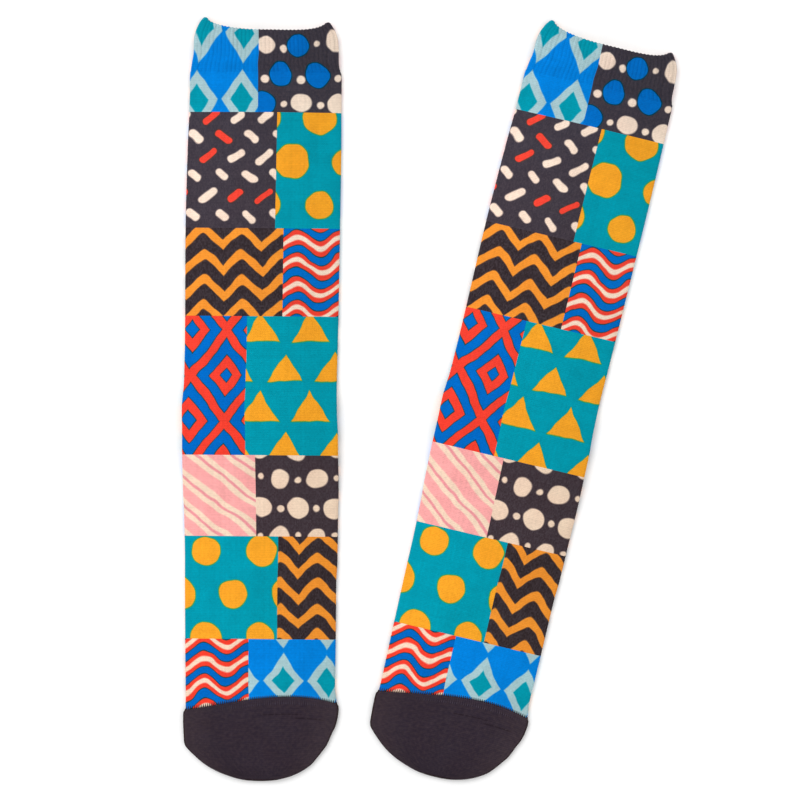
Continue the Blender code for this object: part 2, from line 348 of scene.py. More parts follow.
def read_stop(stop):
    """Zone, progress in it, and the place across the sock from -1 to 1."""
    zone = int(stop) % 4
    progress = stop - int(stop)
    across = (2.0 * progress - 1.0, 1.0, 1.0 - 2.0 * progress, -1.0)[zone]
    return zone, progress, across


def facing_up(stop):
    """1 on the front, -1 on the back, and in between round the folds."""
    zone, progress, _ = read_stop(stop)
    return (1.0, math.cos(math.pi * progress), -1.0, -math.cos(math.pi * progress))[zone]


def toe_edge(stop):
    """How far the toe's upper edge lies above TOE_SEAM."""
    zone, _, across = read_stop(stop)
    bow = SEAM_BOW["back" if zone == 2 else "front"] if zone in (0, 2) else 0.0
    return SEAM_SLANT * across + bow * (1.0 - across**2) * (1.0 + SEAM_BOW_SKEW * across)


def rim_rise(stop, row):
    """The rim's corners stand up, and the back of the rim hides behind the front."""
    zone, _, across = read_stop(stop)
    nearness = smooth((row - CUFF_START) / (RIM_MIDDLE - CUFF_START))
    side = "left" if across < 0.0 else "right"
    rise = EAR_RISE[side] * abs(across) ** EAR_SHARPNESS[side]
    rise += EAR_TIP[side] * nearness * abs(across) ** TIP_SHARPNESS
    if zone == 2:
        rise -= BACK_RIM_DROP * (1.0 - across**2)
    return nearness * rise


def heel_lift(x, station, underside):
    """Height that the folded heel adds; the sole stays down until it meets the heel."""
    start, end = HEEL_REACH
    along = max(station - HEEL_BASE, 0.0) / HEEL_DEPTH
    power = HEEL_SQUARENESS
    away = (abs(x / HEEL_HALF_WIDTH) ** power + along**power) ** (1.0 / power)
    full = (HEEL_THICKNESS + HEEL_GAP) * smooth((end - away) / (end - start))
    if station >= HEEL_BASE - HEEL_GAP - HEEL_STEP / 2:
        return full
    return full * smooth((station - (HEEL_BASE - HEEL_RAMP)) / HEEL_RAMP) * (1.0 - underside)


def gape(station):
    """Height that the open mouth adds in the middle of the front."""
    return MOUTH_GAPE * smooth((station - (RIM_MIDDLE - MOUTH_LENGTH)) / MOUTH_LENGTH)


def on_tube(sock, outline, stop, station, radius, depth):
    """The point at this stop and station, in millimetres, in the sock's own frame."""
    zone, progress, across = read_stop(stop)
    left, right = half_widths(outline, station)
    radius = min(radius, ROUNDEST_FOLD * min(left, right))
    start, end = -(left - radius), right - radius
    reach = radius - depth
    up = facing_up(stop)
    if zone in (0, 2):
        x = mix(start, end, (across + 1.0) / 2.0)
    else:
        x = (end if zone == 1 else start) + across * reach * math.sin(math.pi * progress)
    z = radius + reach * up
    inland = 1.0 - across**CREASE_SQUARENESS
    if zone == 0:
        z += gape(station) * (1.0 - across**2) ** 2
        z += crease(FRONT_CREASES[sock], x, station) * inland
    if zone == 2:
        z += crease(BACK_CREASES[sock], x, station) * inland
    underside = (1.0 - up) / 2.0 if depth < BODY_WALL / 2 else 0.0
    return Vector((x, station, z + heel_lift(x, station, underside)))


print("the heel lifts the leg by", round(heel_lift(0.0, HEEL_BASE + HEEL_DEPTH / 2, 0.0), 2), "mm")

# %% [markdown]
# ## A net for each shell
#
# Every shell starts as a flat grid, which is the knit before it is a tube: a column for
# each half wale, and rows that go up the outer skin, over the rim and back down the inner
# skin.  The grid's own coordinates become its map, in metres of knit, so that print and
# stitches follow the yarn wherever the cloth bends.  Then each point is carried to its
# place, and the grid's edges are welded.

# %% Knit net
LAY = {
    # sock: toe x, toe y, lean clockwise in degrees
    "left": (-94.5, -211.6, 0.48),
    "right": (2.8, -209.3, 13.36),
}
FACE_COLUMNS = 136  # with the folds, two to a wale
FOLD_COLUMNS = 8
WELD = 0.01 * MM


def ring_stops():
    """The stop of each column round the tube."""
    stops = []
    for zone, columns in enumerate((FACE_COLUMNS, FOLD_COLUMNS) * 2):
        stops += [zone + step / columns for step in range(columns)]
    return stops


STOPS = ring_stops()


def spaced(start, end, step):
    """Evenly spaced numbers from start to end, about a step apart."""
    count = max(1, round(abs(end - start) / step))
    return [mix(start, end, i / count) for i in range(count + 1)]


def out_and_back(outside_rows, inside_rows):
    """Rows up the outer skin and back down the inner skin."""
    inward = [("inside", row) for row in reversed(inside_rows)]
    return [("outside", row) for row in outside_rows] + inward


def knit_net(rows, place):
    """A mesh of skins.  rows are (skin, row) pairs, and place gives a point for each."""
    columns, spans = len(STOPS), len(rows) - 1
    bm = bmesh.new()
    net = bmesh.ops.create_grid(bm, x_segments=columns, y_segments=spans, size=0.5)["verts"]
    knit_map = bm.loops.layers.uv.new("knit")
    for face in bm.faces:
        for loop in face.loops:
            column = (loop.vert.co.x + 0.5) * columns
            row = rows[round((loop.vert.co.y + 0.5) * spans)][1]
            round_tube = (column - FACE_COLUMNS / 2) / columns * TUBE_ROUND
            loop[knit_map].uv = (round_tube * MM, row * MM)
        lower_row = round((face.calc_center_median().y + 0.5) * spans - 0.5)
        face.material_index = int(rows[lower_row][0] == "inside")
    for vert in net:
        column = round((vert.co.x + 0.5) * columns) % columns
        skin, row = rows[round((vert.co.y + 0.5) * spans)]
        vert.co = place(column, skin, row) * MM
    bmesh.ops.remove_doubles(bm, verts=net, dist=WELD)
    return bm


def lay_down(sock):
    """The turn and shift that put a sock in its place on the table."""
    toe_x, toe_y, lean = LAY[sock]
    shift = Matrix.Translation((toe_x * MM, toe_y * MM, 0.0))
    return shift @ Matrix.Rotation(-math.radians(lean), 4, "Z")


def fill_holes(bm):
    open_edges = [edge for edge in bm.edges if edge.is_boundary]
    bmesh.ops.holes_fill(bm, edges=open_edges, sides=0)


def finish_piece(bm, name, sock):
    """Closes up the normals and makes the object, with its place in its mesh."""
    bmesh.ops.recalc_face_normals(bm, faces=bm.faces)
    bm.transform(lay_down(sock))
    piece = add_object(name, mesh_from(bm, name))
    piece.data.shade_smooth()
    print(name, "has", len(piece.data.polygons), "faces")
    return piece


print("columns round a tube:", len(STOPS))

# %% [markdown]
# ## Leg, foot and cuff
#
# On the real sock the cuff, the leg and the foot are knitted in one go, so one shell
# stands for both solids.  Below the cuff every wale is a low ridge.  In the cuff the rib
# takes over: four columns make one rib, up, down and half way between, and each rib ends
# in a small scallop at the rim.  At the toe the last row is notched, one notch to a wale,
# because two yarns interlock there.

# %% Printed tubes
CUFF_WALL = 1.6
RIB_HEIGHT = 0.5
WALE_HEIGHT = 0.1
CUFF_SWELL = 7.0  # the cuff grows thicker over this length, and its ribs start at once
RIB_START = 0.8
RIM_ROUND = 0.45  # the rim is rounded off over the length below
RIM_LENGTH = 0.7
RIM_SCALLOP = 0.35  # the ribs end a little higher than the valleys
SCALLOP_LENGTH = 2.5
SEAM_FADE = 30.0  # the rows follow the toe's edge over this length
MEETING_GAP = 0.06  # where two shells touch
TOOTH = 0.7  # the two yarns interlock along the toe's edge
TOOTH_LENGTH = 0.9

SEAM_ROWS_END = 46.0
SEAM_STEP = 0.8
LEG_STEP = 2.4
CUFF_STEP = 1.2
BODY_ROWS = (
    spaced(TOE_SEAM + MEETING_GAP, SEAM_ROWS_END, SEAM_STEP)
    + spaced(SEAM_ROWS_END, HEEL_BASE - HEEL_GAP - HEEL_STEP, LEG_STEP)[1:]
    + spaced(HEEL_BASE - HEEL_GAP, CUFF_START - RIB_START, LEG_STEP)
    + spaced(CUFF_START, RIM_MIDDLE - CUFF_STEP, CUFF_STEP)
    + [RIM_MIDDLE - below for below in (RIM_LENGTH, 0.3, 0.08, 0.0)]
)
INNER_LEG_STEP = 7.0
INNER_CUFF_STEP = 4.0
INNER_ROWS = (
    spaced(TOE_SEAM + MEETING_GAP, CUFF_START, INNER_LEG_STEP)
    + spaced(CUFF_START, RIM_MIDDLE, INNER_CUFF_STEP)[1:]
)


def rib_shape(column):
    """0 in a valley of the cuff and 1 on a rib, four columns to each."""
    return 0.5 - 0.5 * math.cos(math.pi * column / 2.0)


def tooth(column, from_seam):
    """How far a column steps over the seam, to either side of it."""
    return TOOTH * (0.5 - column % 2) * max(0.0, 1.0 - from_seam / TOOTH_LENGTH)


def tube_place(sock):
    """Gives the function that places this sock's printed tube."""
    def place(column, skin, row):
        stop = STOPS[column]
        grown = smooth((row - CUFF_START) / CUFF_SWELL)
        ribbed = smooth((row - CUFF_START) / RIB_START + 1.0)
        wall, rib = mix(BODY_WALL, CUFF_WALL, grown), RIB_HEIGHT * grown
        depth = rib + wall
        from_rim = RIM_MIDDLE - row
        if skin == "outside":
            valley = RIB_HEIGHT * (1.0 - rib_shape(column))
            relief = mix(WALE_HEIGHT * (1 - column % 2), valley, ribbed)
            depth = relief + RIM_ROUND * max(0.0, 1.0 - from_rim / RIM_LENGTH) ** 2
        fade = max(0.0, 1.0 - (row - TOE_SEAM) / SEAM_FADE) ** 2
        near_rim = max(0.0, 1.0 - from_rim / SCALLOP_LENGTH)
        scallop = RIM_SCALLOP * (rib_shape(column) - 1.0) * near_rim
        station = row + toe_edge(stop) * fade + rim_rise(stop, row) + scallop
        station += tooth(column, row - TOE_SEAM)
        return on_tube(sock, LEG_OUTLINE, stop, station, rib + wall + LAYER_GAP / 2, depth)

    return place


tubes = {}
for sock in LAY:
    rows = out_and_back(BODY_ROWS, INNER_ROWS)
    net = knit_net(rows + rows[:1], tube_place(sock))
    tubes[sock] = finish_piece(net, f"{sock}_printed_tube", sock)

# %% [markdown]
# ## Toe
#
# The toe is a pouch of black yarn.  It is knitted to and fro and then linked to the foot
# along a low seam that crosses the front a finger's width below the print.  The net is
# the same, with rows that run out at the tip, where the small hole is filled.  The toe is
# wider and thicker than the foot, so its edge is drawn in like a rounded shoulder.

# %% Toes
TOE_WALL = 1.5
LINK_BELOW = 8.4  # the linked seam, below the toe's upper edge
LINK_WIDTH = 0.8
LINK_HEIGHT = 0.16
LINK_DIP = 0.6  # beside the seam the cloth dips by this share of its height
LINK_DIP_BELOW = 1.9  # in widths of the seam
TIP_ROWS = [0.2, 0.45, 0.8, 1.3, 2.0, 2.8]  # close together where the tip is round
TOE_ROWS = TIP_ROWS + spaced(3.8, TOE_SEAM - MEETING_GAP, 0.85)
TOE_INNER_ROWS = [0.6, 1.6] + spaced(4.0, TOE_SEAM - MEETING_GAP, 5.0)
TIP_THINNEST = 0.25
WALES_GROWN = 6.0  # from the tip to where the ridges of the wales have their height
SHOULDER_LENGTH = 2.2
SHOULDER_DROP = 0.2
SHOULDER_NARROWING = 0.017


def toe_place(sock):
    """Gives the function that places this sock's toe."""
    radius = TOE_WALL + LAYER_GAP / 2

    def place(column, skin, row):
        stop = STOPS[column]
        shoulder = 1.0 - smooth((TOE_SEAM - row) / SHOULDER_LENGTH)
        depth = TOE_WALL
        station = row + toe_edge(stop) * (row / TOE_SEAM) ** 2 + tooth(column, TOE_SEAM - row)
        if skin == "outside":
            seam = (row - (TOE_SEAM - LINK_BELOW)) / LINK_WIDTH
            link = math.exp(-seam * seam) - LINK_DIP * math.exp(-((seam + LINK_DIP_BELOW) ** 2))
            groove = WALE_HEIGHT * (1 - column % 2) * min(1.0, row / WALES_GROWN)
            depth = groove + SHOULDER_DROP * shoulder
            depth -= LINK_HEIGHT * link * max(facing_up(stop), 0.0)
        else:
            station += TOE_WALL * (1.0 - row / TOE_SEAM)
        point = on_tube(sock, TOE_OUTLINE, stop, station, radius, depth)
        from_tip = min(row / radius, 1.0)
        thin = max(math.sqrt(1.0 - (1.0 - from_tip) ** 2), TIP_THINNEST)
        point.x *= 1.0 - SHOULDER_NARROWING * shoulder
        point.z = radius + (point.z - radius) * thin
        return point

    return place


toes = {}
for sock in LAY:
    net = knit_net(out_and_back(TOE_ROWS, TOE_INNER_ROWS), toe_place(sock))
    fill_holes(net)
    toes[sock] = finish_piece(net, f"{sock}_toe_cap", sock)

# %% [markdown]
# ## Heel pouch
#
# Under the leg the heel lies folded in two, a half oval whose straight side joins the
# sole.  Its edge is built as a stack of outlines, which makes both layers round and puts
# the fold line between them.

# %% Heels
HEEL_OVAL_COLUMNS = 104
HEEL_BASE_COLUMNS = 56
HEEL_LAYER = ((0.0, 0.9), (0.08, 0.5), (0.3, 0.14), (0.55, 0.0), (0.8, 0.12))  # height, inset
HEEL_FOLD = (HEEL_THICKNESS / 2, 0.5)
HEEL_LEVELS = [*HEEL_LAYER, HEEL_FOLD]
HEEL_LEVELS += [(HEEL_THICKNESS - height, inset) for height, inset in reversed(HEEL_LAYER)]


def heel_outline(column):
    """Half oval with its straight side to the sole: unit x and unit depth."""
    if column <= HEEL_OVAL_COLUMNS:
        angle = math.pi * column / HEEL_OVAL_COLUMNS
        power = 2.0 / HEEL_SQUARENESS
        x = math.copysign(abs(math.cos(angle)) ** power, math.cos(angle))
        return x, max(math.sin(angle), 0.0) ** power
    return mix(-1.0, 1.0, (column - HEEL_OVAL_COLUMNS) / HEEL_BASE_COLUMNS), 0.0


heels = {}
for sock in LAY:
    columns, spans = HEEL_OVAL_COLUMNS + HEEL_BASE_COLUMNS, len(HEEL_LEVELS) - 1
    net = bmesh.new()
    grid = bmesh.ops.create_grid(net, x_segments=columns, y_segments=spans, size=0.5)["verts"]
    for vert in grid:
        height, inset = HEEL_LEVELS[round((vert.co.y + 0.5) * spans)]
        x, depth = heel_outline(round((vert.co.x + 0.5) * columns) % columns)
        x *= HEEL_HALF_WIDTH - inset
        vert.co = Vector((x, HEEL_BASE + depth * (HEEL_DEPTH - inset), height)) * MM
    bmesh.ops.remove_doubles(net, verts=grid, dist=WELD)
    fill_holes(net)
    knit_map = net.loops.layers.uv.new("knit")
    for face in net.faces:
        for loop in face.loops:
            loop[knit_map].uv = (loop.vert.co.x, loop.vert.co.y + loop.vert.co.z)
    heels[sock] = finish_piece(net, f"{sock}_heel_pouch", sock)

# %% [markdown]
# ## Numbers that vary over the cloth
#
# The print is drawn with arithmetic on the knit's own map.  A small class lets the
# patterns be written as formulas: each operation on a `Field` adds one Math node.

# %% Field arithmetic
INK_SPREAD = 0.8  # how far a dye creeps along the yarn, in millimetres


def feed(tree, entry, value):
    """Links a field or a socket to a node's entry, or sets plain numbers there."""
    if isinstance(value, Field):
        value = value.socket
    if hasattr(value, "links"):
        tree.links.new(value, entry)
    else:
        entry.default_value = value


def add_node(tree, kind, **entries):
    """A new shader node, with what goes into its named entries."""
    node = tree.nodes.new("ShaderNode" + kind)
    for name, value in entries.items():
        feed(tree, node.inputs[name], value)
    return node


class Field:
    """A number at each place of the cloth: the output of a shader node."""

    def __init__(self, tree, socket):
        self.tree = tree
        self.socket = socket

    def op(self, operation, *others, clamp=False):
        node = add_node(self.tree, "Math")
        node.operation = operation
        node.use_clamp = clamp
        for entry, value in zip(node.inputs, (self, *others)):
            feed(self.tree, entry, value)
        return Field(self.tree, node.outputs[0])

    def __add__(self, other):
        return self.op("ADD", other)

    def __sub__(self, other):
        return self.op("SUBTRACT", other)

    def __mul__(self, other):
        return self.op("MULTIPLY", other)

    def __truediv__(self, other):
        return self.op("DIVIDE", other)

    def __abs__(self):
        return self.op("ABSOLUTE")

    def fract(self):
        return self.op("FRACT")

    def floor(self):
        return self.op("FLOOR")

    def rest(self):
        """What is left of 1."""
        return self * -1.0 + 1.0

    def over(self, edge, soft=INK_SPREAD):
        """0 below the edge and 1 above it, with a soft step this wide."""
        return self.op("SUBTRACT", edge).op("MULTIPLY_ADD", 1.0 / soft, 0.5, clamp=True)

    def under(self, edge, soft=INK_SPREAD):
        """1 below the edge and 0 above it."""
        return self.op("SUBTRACT", edge).op("MULTIPLY_ADD", -1.0 / soft, 0.5, clamp=True)


def between(field, low, high, soft):
    """1 between two edges, and 0 beyond them."""
    return field.over(low, soft) * field.under(high, soft)


def centred(field, pitch):
    """Distance from the middle of the repeat that this place is in."""
    return ((field / pitch).fract() - 0.5) * pitch


def distance(across, up):
    """Length of the straight line to a place this far across and up."""
    return (across * across + up * up).op("SQRT")


def blend(tree, factor, first, second, kind="MIX"):
    """Mixes two colours, each a colour socket or four numbers."""
    node = add_node(tree, "Mix")
    node.data_type = "RGBA"
    node.blend_type = kind
    feed(tree, node.inputs["Factor"], factor)
    colours = [entry for entry in node.inputs if entry.type == "RGBA"]
    for entry, colour in zip(colours, (first, second)):
        feed(tree, entry, colour)
    return next(output for output in node.outputs if output.type == "RGBA")


def vector(tree, x, y, z):
    """A place in space, with a field or a number for each axis."""
    return add_node(tree, "CombineXYZ", X=x, Y=y, Z=z).outputs[0]


def noise(tree, place, scale, detail):
    """Unevenness from 0 to 1, mostly near a half, and its colour output."""
    node = add_node(tree, "TexNoise", Scale=scale, Detail=detail, Vector=place)
    return Field(tree, node.outputs["Fac"]), node.outputs["Color"]


def chance(tree, number):
    """A random value from 0 to 1 for each whole number."""
    node = add_node(tree, "TexWhiteNoise")
    node.noise_dimensions = "1D"
    feed(tree, node.inputs["W"], number)
    return Field(tree, node.outputs["Value"])


print("a dye's edge in mm:", INK_SPREAD)

# %% [markdown]
# ## Dyes
#
# Flat dyes, given as they look on a screen.  Five of them have a second tone, brighter,
# paler or cooler, which they take on towards the cuff.

# %% Dyes
def dye(red, green, blue):
    """Linear colour of a dye that looks like these screen values of 0 to 255."""
    def linear(value):
        value /= 255.0
        return value / 12.92 if value <= 0.04045 else ((value + 0.055) / 1.055) ** 2.4

    return (linear(red), linear(green), linear(blue), 1.0)


ORANGE = dye(240, 148, 50)
MUSTARD = dye(245, 165, 42)
TEAL = dye(0, 152, 174)
BLUE = dye(0, 131, 224)
DEEP_BLUE = dye(0, 102, 192)
BRIGHTER_DEEP_BLUE = dye(0, 114, 206)
PALE_BLUE = dye(168, 203, 210)
RED = dye(238, 63, 46)
PALER_RED = dye(240, 72, 57)
PINK = dye(245, 168, 166)
ROSE = dye(232, 150, 155)
CREAM = dye(240, 213, 189)
WHITER_CREAM = dye(250, 229, 211)
CHARCOAL = dye(60, 48, 54)
COOLER_CHARCOAL = dye(59, 56, 67)
BROWN_CHARCOAL = dye(47, 37, 39)
PLUM_CHARCOAL = dye(47, 39, 43)
RUBBED_CHARCOAL = dye(79, 71, 78)
BLACK_YARN = dye(47, 39, 50)
PALER_BLACK_AND_SHEEN = dye(75, 63, 65)
BROWN_EDGE = dye(41, 28, 25)
LINK_YARN_AND_GAP_SHADE = dye(34, 25, 32)
SPECK = dye(86, 80, 96)
WHITE_YARN = dye(238, 236, 230)
print("black yarn in linear light:", [round(channel, 3) for channel in BLACK_YARN])

# %% [markdown]
# ## Swatches of the print
#
# The print is a patchwork of plain geometric repeats.  Each formula takes a place on the
# knit, in millimetres round the tube (u) and up the sock (v), and returns how much of a
# dye lies there.

# %% Motifs
SELDOM = 0.8  # the luck above which a repeat takes the rarer dye
LUCK_ROW = 23.0  # sets each row of repeats apart from the next
DASH_REPEAT = (15.0, 11.0)
DASH_LEAN = (0.77, 0.64)  # cosine and sine
WAVE_LENGTH = 25.0
WAVE_HEIGHT = 3.4
WAVE_PITCH = 13.0
DIAMOND = (25.0, 36.0)
SPOT_REPEAT = (20.0, 16.0)
SLANT = 0.8
SLANT_PITCH = 17.0


def in_repeat(u, v, width, height):
    """Place from the middle of a half-drop repeat, and a random value for each repeat."""
    shifted = u + ((v / height).floor() / 2.0).fract() * width
    luck = chance(u.tree, (shifted / width).floor() + (v / height).floor() * LUCK_ROW)
    return centred(shifted, width), centred(v, height), luck


def by_luck(motif, comparison):
    """The motif only in repeats whose luck is LESS_THAN or GREATER_THAN SELDOM."""
    def chosen(u, v):
        cover, luck = motif(u, v)
        return cover * luck.op(comparison, SELDOM)

    return chosen


def stripes(across, pitch, half_line):
    """Lines that lie a pitch apart."""
    return abs(centred(across, pitch)).under(half_line)


def zigzags(u, v, width=21.0, pitch=14.0, steepness=1.05, bluntness=2.0, half_line=4.0):
    aside = centred(u, width)
    swing = (aside * aside + bluntness).op("SQRT")
    return stripes(v + swing * steepness, pitch, half_line)


def discs(u, v, width=30.0, height=24.0, start=4.0, smallest=7.7, growth=2.6):
    across, up, luck = in_repeat(u, v + start, width, height)
    return distance(across, up).under(luck * growth + smallest)


def dashes(u, v, half_length=2.0, growth=1.8, half_line=2.1):
    """Short strokes that lean one way and the other, row by row, and their luck."""
    across, up, luck = in_repeat(u, v, *DASH_REPEAT)
    cosine, sine = DASH_LEAN
    way = ((v / DASH_REPEAT[1]).floor() / 2.0).fract() * 4.0 - 1.0
    along = across * cosine + up * way * sine
    aside = up * cosine - across * way * sine
    past_end = (abs(along) - luck * growth - half_length).op("MAXIMUM", 0.0)
    return distance(past_end, aside).under(half_line), luck


def nested_diamonds(u, v, width=38.0, height=50.0, steepness=0.76, pitch=12.4, half_line=3.0):
    from_middle = abs(centred(u, width)) + abs(centred(v, height)) * steepness
    return stripes(from_middle, pitch, half_line)


def wavy(u, v):
    return v + (u * (math.tau / WAVE_LENGTH)).op("SINE") * WAVE_HEIGHT


def waves(u, v, half_line=2.3):
    return stripes(wavy(u, v), WAVE_PITCH, half_line)


def wave_lines(u, v, half_line=1.4):
    return stripes(wavy(u, v) + WAVE_PITCH / 2, WAVE_PITCH, half_line)


def from_diamond(u, v):
    """0 in a diamond's middle and a half on its sides."""
    width, height = DIAMOND
    return abs(centred(u, width)) / width + abs(centred(v, height)) / height


def harlequin(u, v, size=0.46):
    return from_diamond(u, v).over(size, soft=INK_SPREAD / DIAMOND[0])


def small_diamonds(u, v, size=0.25):
    return from_diamond(u, v).under(size, soft=INK_SPREAD / DIAMOND[0])


def triangles(u, v, width=27.0, height=22.0, steepness=1.62, growth=3.0, top=6.0, base=-9.2):
    across, up, luck = in_repeat(u, v, width, height)
    return (up + abs(across) * steepness - luck * growth).under(top) * up.over(base)


def large_spots(u, v, drift=2.4, smallest=4.2, growth=2.4):
    """Spots off the middle of their repeat, and their luck."""
    across, up, luck = in_repeat(u, v, *SPOT_REPEAT)
    return distance(across + luck * drift - drift / 2, up).under(luck * growth + smallest), luck


def cream_spots(u, v, drift=5.0, smallest=1.3, growth=1.0):
    """Large spots with small ones between them."""
    large = by_luck(large_spots, "LESS_THAN")(u, v)
    across, up, size = in_repeat(u + SPOT_REPEAT[0] / 2, v, *SPOT_REPEAT)
    small = distance(across, up + size * drift - drift / 2).under(size * growth + smallest)
    return large.op("MAXIMUM", small)


def slants(u, v, half_line=3.8):
    return stripes(v + u * SLANT, SLANT_PITCH, half_line)


def slant_lines(u, v, half_line=1.0):
    return stripes(v + u * SLANT + SLANT_PITCH / 2, SLANT_PITCH, half_line)


cream_dashes = by_luck(dashes, "LESS_THAN")
red_dashes = by_luck(dashes, "GREATER_THAN")
blue_spots = by_luck(large_spots, "GREATER_THAN")
SWATCHES = {
    # name: ground dye, then each motif and its dye
    "zigzags": (ORANGE, (zigzags, BROWN_CHARCOAL)),
    "discs": (TEAL, (discs, MUSTARD)),
    "dashes": (CHARCOAL, (cream_dashes, CREAM), (red_dashes, RED)),
    "nested": (DEEP_BLUE, (nested_diamonds, RED)),
    "waves": (RED, (waves, DEEP_BLUE), (wave_lines, CREAM)),
    "harlequin": (PALE_BLUE, (harlequin, BLUE), (small_diamonds, TEAL)),
    "triangles": (TEAL, (triangles, MUSTARD)),
    "slants": (CREAM, (slants, PINK), (slant_lines, ROSE)),
    "spots": (CHARCOAL, (cream_spots, CREAM), (blue_spots, DEEP_BLUE)),
}
print("swatches:", len(SWATCHES))

# %% [markdown]
# ## The patchwork
#
# The swatches lie in bands round the sock, and each band is cut at other places, like
# courses of brick.  Every band is a colour ramp without blending: its stops are the
# borders of the blocks, and its grey value says which swatch a block has.  The motifs are
# moved by slow noise, a millimetre or so, so they look cut by hand.  The noise is read on
# a cylinder, which makes it run on where the tube closes.
#
# Where two inks meet, both lie in the same yarn and may look darker.  Stretching rubs the
# charcoal paler, one leg of a stitch more than the next.  All of this is mixed as the eye
# weighs light, and a Gamma node at the end turns it back into light.

# %% Patchwork
BANDS = (
    # start up the sock, the cut in its front, and the swatches from the back's middle on
    (0.0, -7.0, "zigzags", "waves", "harlequin", "triangles"),
    (79.0, 9.0, "slants", "discs", "zigzags", "dashes"),
    (136.0, -3.0, "harlequin", "slants", "spots", "zigzags"),
    (181.0, -8.0, "discs", "nested", "triangles", "spots"),
    (258.0, 11.0, "dashes", "zigzags", "waves", "triangles"),
    (306.8, 6.0, "nested", "dashes", "discs", "harlequin"),
    (371.0, -4.0, "zigzags", "harlequin", "spots", "slants"),
)
GREYS = 10.0  # a ramp's grey is the swatch's number over this
HAND_WOBBLE = 4.4
WOBBLE_LENGTH = 16.0
WOBBLE_DETAIL = 2.0
# how much each ink darkens the edge where it meets its ground; the others don't
INK_OVERLAPS = {MUSTARD: 0.5, RED: 0.9, DEEP_BLUE: 0.9, BROWN_CHARCOAL: 0.4}
TONES_ABOVE = {
    # ink low on the sock: its tone at the cuff
    DEEP_BLUE: BRIGHTER_DEEP_BLUE,
    RED: PALER_RED,
    CREAM: WHITER_CREAM,
    CHARCOAL: COOLER_CHARCOAL,
    BROWN_CHARCOAL: PLUM_CHARCOAL,
}
TONE_MIDDLE = 280.0
TONE_LENGTH = 230.0  # the tone changes over this length, half of it below the middle
EYE = 2.2  # the eye weighs light by this root
RUBBING = 0.55
LEGS_IN_ROW = 2.0 * WALES + 1.0  # sets each course's random values apart from the next


def band_ramp(tree, u, cut, names):
    """The swatch's number at each place round one band."""
    node = add_node(tree, "ValToRGB", Fac=u / TUBE_ROUND + 0.5)
    node.color_ramp.interpolation = "CONSTANT"
    stops = node.color_ramp.elements
    stops.remove(stops[-1])
    borders = (-TUBE_ROUND / 2, -TUBE_ROUND / 4, cut, TUBE_ROUND / 4)
    for index, (border, name) in enumerate(zip(borders, names)):
        place = (border + TUBE_ROUND / 2) / TUBE_ROUND
        stop = stops[0] if index == 0 else stops.new(place)
        stop.position = place
        grey = list(SWATCHES).index(name) / GREYS
        stop.color = (grey, grey, grey, 1.0)
    return Field(tree, node.outputs["Color"])


def hand_cut(tree, u, v):
    """The same place, moved a little."""
    angle = u * (math.tau / TUBE_ROUND)
    radius = TUBE_ROUND / math.tau
    place = vector(tree, angle.op("COSINE") * radius, angle.op("SINE") * radius, v)
    _, colour = noise(tree, place, 1.0 / WOBBLE_LENGTH, WOBBLE_DETAIL)
    split = add_node(tree, "SeparateColor", Color=colour)
    shifts = [Field(tree, split.outputs[channel]) - 0.5 for channel in ("Red", "Green")]
    return u + shifts[0] * HAND_WOBBLE, v + shifts[1] * HAND_WOBBLE


def as_weighed(ink):
    """A dye as the eye weighs it."""
    return tuple(channel ** (1.0 / EYE) for channel in ink)


def taken(tree, u, v, ink):
    """The ink in the yarn, with its tone at this height and the charcoal rubbed paler."""
    tone = as_weighed(ink)
    if ink in TONES_ABOVE:
        height = v.over(TONE_MIDDLE, soft=TONE_LENGTH)
        tone = blend(tree, height, tone, as_weighed(TONES_ABOVE[ink]))
    if ink in (CHARCOAL, BROWN_CHARCOAL):
        leg = (u / (WALE / 2)).floor() + (v / COURSE).floor() * LEGS_IN_ROW
        tone = blend(tree, chance(tree, leg) * RUBBING, tone, as_weighed(RUBBED_CHARCOAL))
    return tone


def print_over(tree, cover, ground, ink, overlap):
    """Prints an ink on a ground.  The overlap is strongest where the cover is a half."""
    printed = blend(tree, cover, ground, ink)
    if not overlap:
        return printed
    both = blend(tree, 1.0, ground, ink, "DARKEN")
    return blend(tree, cover * cover.rest() * (4.0 * overlap), printed, both)


def patchwork(tree, u, v):
    """The colour socket of the whole print."""
    u = centred(u + TUBE_ROUND / 2, TUBE_ROUND)
    number = None
    for start, cut, *names in BANDS:
        ramp = band_ramp(tree, u, cut, names)
        number = ramp if number is None else number + (ramp - number) * v.op("GREATER_THAN", start)
    cut_u, cut_v = hand_cut(tree, u, v)
    colour = None
    for index, (ground, *motifs) in enumerate(SWATCHES.values()):
        swatch = taken(tree, u, v, ground)
        for motif, ink in motifs:
            overlap = INK_OVERLAPS.get(ink, 0.0)
            swatch = print_over(tree, motif(cut_u, cut_v), swatch, taken(tree, u, v, ink), overlap)
        chosen = (number * GREYS).op("GREATER_THAN", index - 0.5)
        colour = swatch if colour is None else blend(tree, chosen, colour, swatch)
    return add_node(tree, "Gamma", Color=colour, Gamma=EYE).outputs["Color"]


print("blocks in the patchwork:", sum(len(names) for _, _, *names in BANDS))
